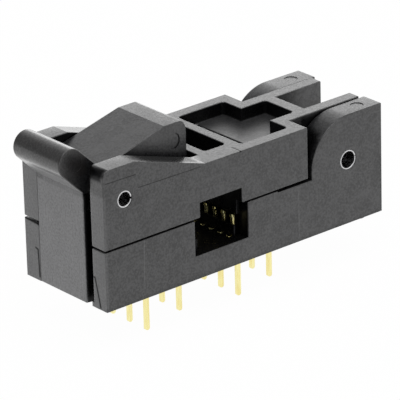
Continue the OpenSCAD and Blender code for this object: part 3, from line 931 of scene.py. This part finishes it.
@dataclass
class NestComb:
    """A low comb of the base, which stands on the nest's floor before a row of contacts.

    Args:
        side: -1 for the left row and 1 for the right row.
        middle: Place of the nest's middle along the length.
        face: Distance of its inner face from there.
        thick: Its thickness.
        foot: Height of its foot, just below the nest's floor.
        notch_top: Height of the notches that the contacts' noses pass through.
        top: Height of its top.
        notch: Width of a notch.
        overhang: How far it reaches past the outermost contacts.
        edge: Radius of its edges.
        corner_turn: Turn from which an edge is rounded.
    """

    side: int
    middle: float = -3.2
    face: float = 2.28
    thick: float = 0.22
    foot: float = 2.57
    notch_top: float = 2.75
    top: float = 3.85
    notch: float = 0.6
    overhang: float = 0.63
    edge: float = 0.03
    corner_turn: float = 57.0

    def build(self, material: Material) -> None:
        """Cuts the notches into a sheet and gives it its thickness.

        Args:
            material: The base's material.
        """
        name = "left" if self.side < 0 else "right"
        boxes = [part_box(f"contact_{name}_{row}") for row in range(1, Metalwork.rows + 1)]
        middles = sorted((low.y + high.y) / 2 / MM for low, high in boxes)
        sides = [y + s * self.notch / 2 for y in middles for s in (-1, 1)]
        columns = [middles[0] - self.overhang, *sides, middles[-1] + self.overhang]
        heights = [self.foot, self.notch_top, self.top]
        spans, steps = len(columns) - 1, len(heights) - 1
        bm = bmesh.new()
        bmesh.ops.create_grid(bm, x_segments=spans, y_segments=steps, size=0.5)
        gaps = [f for f in bm.faces if f.calc_center_median().y < 0 and self._column(f, spans) % 2 == 1]
        bmesh.ops.delete(bm, geom=gaps, context="FACES")
        for vert in bm.verts:
            column, height = round((vert.co.x + 0.5) * spans), round((vert.co.y + 0.5) * steps)
            vert.co = Vector((self.middle + self.side * self.face, columns[column], heights[height])) * MM
        extrude(bm, bm.faces[:], Vector((self.side * self.thick * MM, 0.0, 0.0)))
        bmesh.ops.recalc_face_normals(bm, faces=bm.faces)
        corners = [e for e in bm.edges if e.calc_face_angle(0.0) > math.radians(self.corner_turn)]
        bmesh.ops.bevel(
            bm, geom=corners, offset=self.edge * MM, affect="EDGES", segments=2, profile=ROUND, material=-1
        )
        shade_smooth(bm)
        piece = new_piece(f"nest_comb_{name}", bm, material, Slot.BASE_PLASTIC)
        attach(piece, Body.BASE.value)

    @staticmethod
    def _column(face: Face, spans: int) -> int:
        """Returns the column of a grid's face."""
        return math.floor((face.calc_center_median().x + 0.5) * spans)


@dataclass
class Mouldings:
    """The base, the lid and the latch, with the marks that their moulds and their use leave, and painted
    light and shade.

    Args:
        nodes: The CAD nodes' objects.
        effects: The shared node groups.
        end: Place of the latch end's faces.
        front: Place of the near side faces.
        underside: Height of the base's underside.
        latch_side: Place of the near side of the latch's plate and press pad.
        edge: Radius of the mouldings' edges.
        faint: Painted light on the faces of the end posts.
        painted_lit_latch: Painted light on the latch's end plate, and painted reflection under its neck.
    """

    nodes: dict[str, Piece]
    effects: Effects
    end: float = -17.4
    front: float = -6.05
    underside: float = 0.25
    latch_side: float = -3.0
    edge: float = 0.09
    faint: Colour = (0.065, 0.065, 0.067, 1.0)
    painted_lit_latch: Colour = (0.13, 0.13, 0.134, 1.0)

    def build(self) -> None:
        """Builds and dresses the three mouldings."""
        self._base()
        self._lid()
        self._latch()

    def _base(self) -> None:
        """Builds the base, its combs and the square foot of its latch slot's rounded corner."""
        # Painted shade in the nest, the latch slot and on the shaded ears
        nest = Zone((-7.3, -5.97, -1.0), (0.9, 5.97, 6.2))
        latch_slot = Zone((-17.3, -3.9, -1.0), (-14.5, 3.9, 6.2))
        shaded_ears = Zone((7.5, -5.99, 5.5), (10.3, 5.99, 10.9), 0.8)
        pockets = (nest, latch_slot, shaded_ears)
        # Painted light on the latch end's faces, with worn streaks
        wear_and_light = (self._lit_and_worn_end(12.0, self.faint, 0.34),)
        plastic = BLACK_PLASTIC.material("base plastic", self.effects, self._base_lines(), pockets, wear_and_light)
        combs = Zone((-12.2, -5.0, -0.1), (5.8, 5.0, 6.6))
        lower_edges = Zone((-18.0, -6.5, -0.1), (18.0, 6.5, 0.4))
        sharp = (combs, lower_edges)
        base = RoundedSolid("base", "moulding", Body.BASE, Slot.BASE_PLASTIC, self.edge, sharp)
        base.build(self.nodes["base"], plastic)
        for side in (-1, 1):
            NestComb(side).build(plastic)
        low = Vector((self.end + 0.005, -4.2, self.underside)) * MM
        high = Vector((self.end + 0.35, -3.85, 0.72)) * MM
        bm = bmesh.new()
        bmesh.ops.create_cube(bm, size=1.0, matrix=Matrix.LocRotScale((low + high) / 2, None, high - low))
        foot = new_piece("slot_corner_foot", bm, plastic, Slot.BASE_PLASTIC)
        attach(foot, Body.BASE.value)

    def _lid(self) -> None:
        """Builds the lid."""
        # Painted light: a lighter floor in the T-shaped pocket, which is also rougher, and lighter faces at
        # the latch end, with worn streaks
        floor = Zone((0.4, -4.9, 10.15), (9.7, 4.9, 10.55), 0.1)
        lit_tee_floor = WearOrLightPatch(floor, colour=(0.035, 0.035, 0.036, 1.0), rough=0.4, stretch=(1.7, 1.7, 1.7))
        wear_and_light = (self._lit_and_worn_end(12.0, self.faint, 0.34), lit_tee_floor)
        marks = (self._lid_lines(), self._lid_painted_shade(), wear_and_light)
        plastic = BLACK_PLASTIC.material("lid plastic", self.effects, *marks)
        lid = RoundedSolid("lid", "moulding", Body.LID, Slot.LID_PLASTIC, self.edge, (self._seam(),))
        lid.build(self.nodes["lid"], plastic)

    def _latch(self) -> None:
        """Builds the latch."""
        neck = Zone((-20.5, -3.0, 10.9), (-17.2, 3.0, 13.5), 0.4)
        bar = Zone((-22.0, -6.0, 13.0), (-16.6, 6.0, 17.0), 0.4)
        # Painted light on the end plate and painted reflection under the neck; the bar is worn smoother and
        # darker
        wear_and_light = (
            self._lit_and_worn_end(11.2, self.painted_lit_latch, 0.4),
            WearOrLightPatch(neck, self.painted_lit_latch, rough=0.3, stretch=(1.7, 1.7, 0.75)),
            WearOrLightPatch(bar, colour=(0.012, 0.011, 0.011, 1.0), rough=0.2, stretch=(1.0, 0.3, 1.0)),
        )
        # Painted shade on the plate's near side, in the gap beside the end post
        plate_side = Zone((self.end + 0.1, -3.06, -1.0), (self.end + 2.5, -2.9, 11.3))
        marks = (self._latch_lines(), (plate_side,), wear_and_light)
        plastic = BLACK_PLASTIC.material("latch plastic", self.effects, *marks)
        plate_foot, plate_back = 0.3, -15.9
        changes = (
            FullerRound(corner=(-4.74, 15.27), radius=0.4, fuller=(0.75, 1.2)),
            MovedEdge(place=(-14.85, 12.991), way=(-1.0, 1.0), shifts=(0.25, 0.5)),
            MovedEdge(place=(self.end, plate_foot), way=(0.0, -1.0), shifts=(0.06, 0.06)),
            MovedEdge(place=(plate_back, plate_foot), way=(0.0, -1.0), shifts=(0.22, 0.22)),
        )
        latch = RoundedSolid(
            "latch", "moulding", Body.LATCH, Slot.LATCH_PLASTIC, self.edge, (self._seam(),), changes=changes
        )
        latch.build(self.nodes["latch"], plastic)

    def _seam(self) -> Zone:
        """Returns a box round the narrow seam between the plate and the far end post."""
        return Zone((self.end - 0.1, 3.7, -0.1), (self.end + 0.1, 3.95, 14.0))

    def _lit_and_worn_end(self, top: float, colour: Colour, rough: float) -> WearOrLightPatch:
        """Returns the patch on the faces of the latch end, up to a height: painted light, with worn streaks.
        """
        faces = Zone((self.end - 0.5, -7.0, -1.0), (self.end + 0.42, 7.0, top), 0.4)
        return WearOrLightPatch(faces, colour, rough, stretch=(5.0, 5.0, 4.0))

    @staticmethod
    def _lid_painted_shade() -> tuple[Zone, ...]:
        """Lists where shade is painted on the lid.

        Returns:
            Its pockets, faces in a neighbour's shade, the press pad's painted reflection and the grip bar's
            painted shadow.
        """
        # Painted shade in the pockets, and on the arms' sides in a neighbour's shade
        tee_bar = Zone((0.55, -4.73, 10.4), (6.47, 4.73, 11.7))
        tee_stem = Zone((5.5, -2.13, 10.4), (9.58, 2.13, 11.7))
        trench = Zone((0.55, -4.73, 8.0), (3.0, 4.73, 10.3))
        middle = Zone((-3.15, -3.7, 8.0), (-0.47, 3.7, 11.7))
        channel = Zone((-17.3, -3.9, 6.3), (-4.12, 3.9, 14.35))
        window = Zone((-6.5, -5.97, 4.0), (0.1, 5.97, 7.99))
        near_arm_inside = Zone((9.65, -2.2, 4.0), (17.0, -1.9, 11.68))
        arm_outsides = [Zone((9.0, y, 4.0), (12.5, y + 1.5, 11.7), 0.5) for y in (-4.2, 2.7)]
        # Painted reflection of the press pad's dark side on the near cheek's ramp
        ramp = Zone((-14.0, -6.03, 4.0), (-5.0, -1.6, 24.0), 0.9)
        # Painted shadow of the grip bar's neck on the near cheek's end face
        cheek_end = Zone((-18.6, -6.03, 13.05), (-16.5, -1.5, 17.0), 0.5)
        pockets = (tee_bar, tee_stem, trench, middle, channel, window)
        return (*pockets, near_arm_inside, *arm_outsides, ramp, cheek_end)

    def _base_lines(self) -> tuple[Hairline, ...]:
        """Lists the lines on the base.

        Returns:
            Painted shade along the near side's lower and right edges, the end posts' lines, and the near
            side's faint draw lines.
        """
        shaded = ((self.end, self.underside), (-self.end, self.underside), (-self.end, 6.0))
        left, right, top = ((x, self.front, z) for x, z in shaded)
        near_knit = ((-3.95, 3.37), (-4.41, 3.34), (-5.11, 0.5))
        far_knit = ((4.45, 3.55), (4.13, 3.45), (4.02, 0.7))
        far_seam = ((6.05, 6.2), (3.9, 6.12))
        paths = [[(self.end, y, z) for y, z in path] for path in (near_knit, far_knit, far_seam)]
        return (
            # Painted shade along the near side's lower edge and its right edge
            Hairline(left, right, width=0.5, strength=0.22),
            Hairline(right, top, width=0.5, strength=0.2),
            *(line for path in paths for line in joined_lines(path, 0.2)),
            Hairline((-12.72, self.front, 6.1), (-12.82, self.front, 1.3), LineKind.WITNESS, 0.08, 0.8),
            Hairline((6.5, self.front, 5.6), (6.52, self.front, 0.6), LineKind.WITNESS, 0.12, 0.45),
        )

    def _lid_lines(self) -> tuple[Hairline, ...]:
        """Returns the parting lines on the near cheek and on the rim beside the T-shaped pocket."""
        return (
            Hairline((-17.1, self.front, 13.15), (-13.5, self.front, 13.1), strength=0.6),
            Hairline((-13.2, self.front, 11.7), (-5.7, self.front, 11.6), strength=0.6),
            Hairline((-0.67, self.front, 11.73), (-0.67, -4.81, 11.73), width=0.17),
        )

    def _latch_lines(self) -> tuple[Hairline, ...]:
        """Lists the lines on the latch.

        Returns:
            Painted shade along part of the rim of the round mark on the press pad's near side.
        """
        # Painted shade where the mark's rim faces away from the light
        x, z, radius = -6.4, 13.47, 0.8
        turns = [math.radians(a) for a in range(-70, 61, 26)]
        rim = [(x + radius * math.cos(t), self.latch_side, z + radius * math.sin(t)) for t in turns]
        return joined_lines(rim, 0.14, 0.8)


@dataclass
class Metalwork:
    """The rolled pins, the wire springs and the stamped contacts.

    Args:
        nodes: The CAD nodes' objects.
        effects: The shared node groups.
        rows: Contacts in each row.
        strip_edge: Radius on the edges of the contact strip.
        strip_steps: Faces across such an edge.
    """

    nodes: dict[str, Piece]
    effects: Effects
    rows: int = 8
    strip_edge: float = 0.07
    strip_steps: int = 4

    def build(self) -> None:
        """Builds and dresses the metal pieces."""
        steel = ROLLED_STEEL.material("rolled steel", self.effects)
        wire = SPRING_WIRE.material("spring wire", self.effects)
        gold = GOLD_PLATE.material("gold plate", self.effects)
        RolledPin("hinge_pin", Body.BASE, slot_turn=12.0, gap=0.06).build(steel)
        RolledPin("latch_pin", Body.LID, slot_turn=-4.0, gap=0.26).build(steel)
        TorsionSpring(
            "lid_spring", Body.LID, Body.BASE, "hinge_pin", wire=0.5, start=259.5, end=2020.0,
            rows=(-1.58, 1.58), legs=(3.954, 3.911),
        ).build(wire)
        TorsionSpring(
            "latch_spring", Body.LID, Body.LATCH, "latch_pin", wire=0.28, start=30.0, end=525.0,
            rows=(-3.66, -3.19), legs=(3.464, 2.0),
        ).build(wire)
        for node in (f"contact_{s}_{r}" for s in ("left", "right") for r in range(1, self.rows + 1)):
            strip = RoundedSolid(
                node, "strip", Body.BASE, Slot.CONTACT_GOLD, self.strip_edge, steps=self.strip_steps
            )
            strip.build(self.nodes[node], gold)


@dataclass(frozen=True)
class Softbox:
    """An area lamp that points at the middle of the socket.

    Args:
        name: Its name.
        place: Where it stands, in metres.
        size: Its width and height, in metres.
        power: Its power in watts.
    """

    name: str
    place: Point
    size: Pair
    power: float

    def build(self) -> None:
        """Makes the lamp, out of the camera's sight."""
        light = bpy.data.lights.new(self.name, "AREA")
        light.shape = "RECTANGLE"
        light.size, light.size_y = self.size
        light.energy = self.power
        lamp = bpy.data.objects.new(self.name, light)
        lamp.location = self.place
        lamp.rotation_mode = "QUATERNION"
        lamp.rotation_quaternion = (-Vector(self.place)).to_track_quat("-Z", "Y")
        lamp.visible_camera = False
        bpy.context.scene.collection.objects.link(lamp)


@dataclass
class Studio:
    """A white sweep with soft light, and the camera of the photograph.

    Args:
        azimuth: Direction of the camera round the socket.
        elevation: Its height above the horizon.
        roll: Its roll.
        distance: Its distance from the aim.
        aim: The point in the middle of the picture.
        focal: Focal length in pixels of the picture.
        frame: Width and height of the picture in pixels.
        sensor: Width of the camera's sensor.
        clip: Nearest and farthest distance that the camera sees, in metres.
        fill: Strength of the light from all round.
        white: Share of plain white in what the camera sees of the floor.
        floor_colour: Colour of the floor in the light.
        floor_reach: Distance from the floor's middle to its sides, in metres.
        room_colour: Colour of the room.
        shade: Brightness of the room on its darker side, as gloss shows it.
        shade_side: Direction of that side.
        shade_range: How far towards that side the shade begins and is full.
        softboxes: The lamps.
    """

    azimuth: float = -39.797
    elevation: float = 23.192
    roll: float = -1.564
    distance: float = 378.42
    aim: Point = (-0.959, -0.207, 4.999)
    focal: float = 3942.2
    frame: float = 400.0
    sensor: float = 36.0
    clip: Pair = (0.01, 10.0)
    fill: float = 0.6
    white: float = 0.98
    floor_colour: Colour = (0.85, 0.85, 0.85, 1.0)
    floor_reach: float = 2.0
    room_colour: Colour = (1.0, 1.0, 1.0, 1.0)
    shade: float = 0.35
    shade_side: Point = (-0.8, 0.0, 0.6)
    shade_range: Pair = (-0.05, 0.55)
    softboxes: tuple[Softbox, ...] = (
        Softbox("overhead softbox", (-0.05, -0.14, 0.5), (0.5, 0.5), 1.5),
        Softbox("back softbox", (0.43, 0.31, 0.11), (0.4, 0.18), 0.3),
    )

    def build(self) -> None:
        """Builds the camera, the floor, the world and the lamps."""
        self._camera()
        self._floor()
        self._world()
        for softbox in self.softboxes:
            softbox.build()
        bpy.context.scene.view_settings.view_transform = "Standard"

    def _camera(self) -> None:
        """Makes the camera and sets it as the scene's."""
        around, up = math.radians(self.azimuth), math.radians(self.elevation)
        back = Vector((math.sin(around) * math.cos(up), -math.cos(around) * math.cos(up), math.sin(up)))
        level = Vector((math.cos(around), math.sin(around), 0.0))
        turn = Matrix.Rotation(math.radians(self.roll), 3, back)
        right = turn @ level
        axes = Matrix((right, back.cross(right), back)).transposed()
        data = bpy.data.cameras.new("photo camera")
        data.sensor_width = self.sensor
        data.lens = self.focal / self.frame * self.sensor
        data.clip_start, data.clip_end = self.clip
        camera = bpy.data.objects.new("photo camera", data)
        place = (Vector(self.aim) + back * self.distance) * MM
        camera.matrix_world = Matrix.Translation(place) @ axes.to_4x4()
        bpy.context.scene.collection.objects.link(camera)
        bpy.context.scene.camera = camera

    @staticmethod
    def _rays(graph: Graph, *kinds: str) -> Socket | float:
        """Returns 1 for rays of the named kinds and 0 for the rest."""
        path = graph.add("ShaderNodeLightPath")
        return graph.highest(path.outputs[f"Is {kind} Ray"] for kind in kinds)

    def _floor(self) -> None:
        """Makes the white floor under the tips of the tails."""
        material = bpy.data.materials.new("white sweep")
        graph = Graph.of(material)
        seen = self._rays(graph, "Camera", "Glossy", "Transmission")
        matt = graph.result("ShaderNodeBsdfDiffuse", self.floor_colour)
        glow = graph.result("ShaderNodeEmission")
        mix = graph.result("ShaderNodeMixShader", graph.math("MULTIPLY", seen, self.white), matt, glow)
        graph.add("ShaderNodeOutputMaterial", mix)
        bm = bmesh.new()
        bmesh.ops.create_grid(bm, x_segments=1, y_segments=1, size=self.floor_reach)
        bmesh.ops.translate(bm, verts=bm.verts, vec=(0.0, 0.0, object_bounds()[0].z))
        floor = new_object("floor", bm, material)
        floor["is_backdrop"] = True

    def _world(self) -> None:
        """Makes the room: white to the eye, a soft fill for the light, darker on one side in the gloss."""
        world = bpy.data.worlds.new("white surroundings")
        graph = Graph.of(world)
        geometry = graph.add("ShaderNodeNewGeometry")
        towards = tuple(-c for c in self.shade_side)
        side = graph.vector("DOT_PRODUCT", geometry.outputs["Incoming"], towards)
        gloss = graph.remap(side, *self.shade_range, 1.0, self.shade)
        strength = graph.blend(self._rays(graph, "Glossy"), self.fill, gloss, "FLOAT")
        strength = graph.blend(self._rays(graph, "Camera", "Transmission"), strength, 1.0, "FLOAT")
        room = graph.result("ShaderNodeBackground", self.room_colour, strength)
        graph.add("ShaderNodeOutputWorld", room)
        bpy.context.scene.world = world


def main() -> None:
    """Loads the frame, dresses it and lights it."""
    logging.basicConfig(level=logging.INFO, format="%(name)s: %(message)s")
    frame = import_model()
    Studio().build()
    effects = Effects()
    Mouldings(frame["nodes"], effects).build()
    Metalwork(frame["nodes"], effects).build()


if __name__ == "__main__":
    main()
